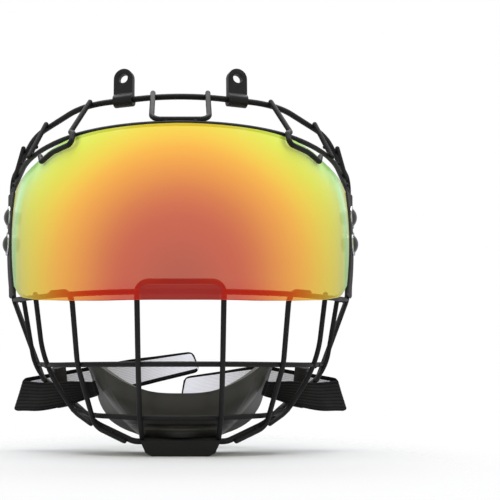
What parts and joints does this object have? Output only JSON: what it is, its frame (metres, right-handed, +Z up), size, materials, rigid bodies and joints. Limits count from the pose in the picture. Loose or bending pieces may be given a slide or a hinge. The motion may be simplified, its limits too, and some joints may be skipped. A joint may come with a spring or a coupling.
{
  "type": "hockey visor cage combo",
  "caption": "Welded wire hockey face cage with a curved mirror-coated visor lens, padded chin cup, folded elastic chin straps and loop clips at the forehead.",
  "frame": {"origin": "on the floor under the foot of the chin cup, in the middle of the overall depth and of the width", "axes": "+Z up, -Y the way the wearer looks, +X to the right as seen from the front"},
  "size_m": [0.2232, 0.1886, 0.2053],
  "materials": {
    "cage_wire": "satin black powder coat on welded steel wire",
    "lens": "mirror-coated orange polycarbonate, its colour runs from salmon in the middle to green at the sides",
    "side_plate": "matt black",
    "screw": "glossy black domed heads",
    "screw_ring": "bright",
    "screw_nut": "plain",
    "chin_shell": "olive grey, slightly sheened",
    "chin_pad": "dark grey mesh over foam",
    "chin_foot": "matt black",
    "strap": "charcoal elastic webbing, pale lining",
    "slider": "black",
    "clip": "vinyl-coated strip"
  },
  "bodies": {
    "face_guard": {"brow_hoop": "cage_wire", "brow_wire": "cage_wire", "centre_hoop": "cage_wire", "cheek_bar_left": "cage_wire", "cheek_bar_right": "cage_wire", "chin_foot": "chin_foot", "chin_pad": "chin_pad", "chin_shell": "chin_shell", "chin_wire": "cage_wire", "front_strut_left": "cage_wire", "front_strut_right": "cage_wire", "jaw_wire": "cage_wire", "rail_wire": "cage_wire", "rear_bar_left": "cage_wire", "rear_bar_right": "cage_wire", "rear_strut_left": "cage_wire", "rear_strut_right": "cage_wire", "rim_wire": "cage_wire", "screw_nuts": "screw_nut", "screw_rings": "screw_ring", "side_bar_left": "cage_wire", "side_bar_right": "cage_wire", "side_plate_left": "side_plate", "side_plate_right": "side_plate", "strap_left": "strap", "strap_right": "strap", "visor_hook_left": "cage_wire", "visor_hook_right": "cage_wire", "visor_lens": "lens", "visor_screws": "screw"},
    "clip_left": {"brow_clip_left": "clip"},
    "clip_right": {"brow_clip_right": "clip"},
    "slider_left": {"slider_left": "slider"},
    "slider_right": {"slider_right": "slider"}
  },
  "joints": [
    {"name": "clip_swing_right", "type": "hinge", "parent": "face_guard", "child": "clip_right", "pos_m": [0.0303, -0.05358, 0.1879], "axis": [0.9511, 0.309, 0], "continuous": true},
    {"name": "clip_swing_left", "type": "hinge", "parent": "face_guard", "child": "clip_left", "pos_m": [-0.0303, -0.05358, 0.1879], "axis": [0.9511, -0.309, 0], "continuous": true},
    {"name": "slider_travel_right", "type": "slide", "parent": "face_guard", "child": "slider_right", "axis": [-0.8526, 0.4922, 0.1758], "range_m": [-0.012, 0.009]},
    {"name": "slider_travel_left", "type": "slide", "parent": "face_guard", "child": "slider_left", "axis": [0.8526, 0.4922, 0.1758], "range_m": [-0.012, 0.009]}
  ]
}
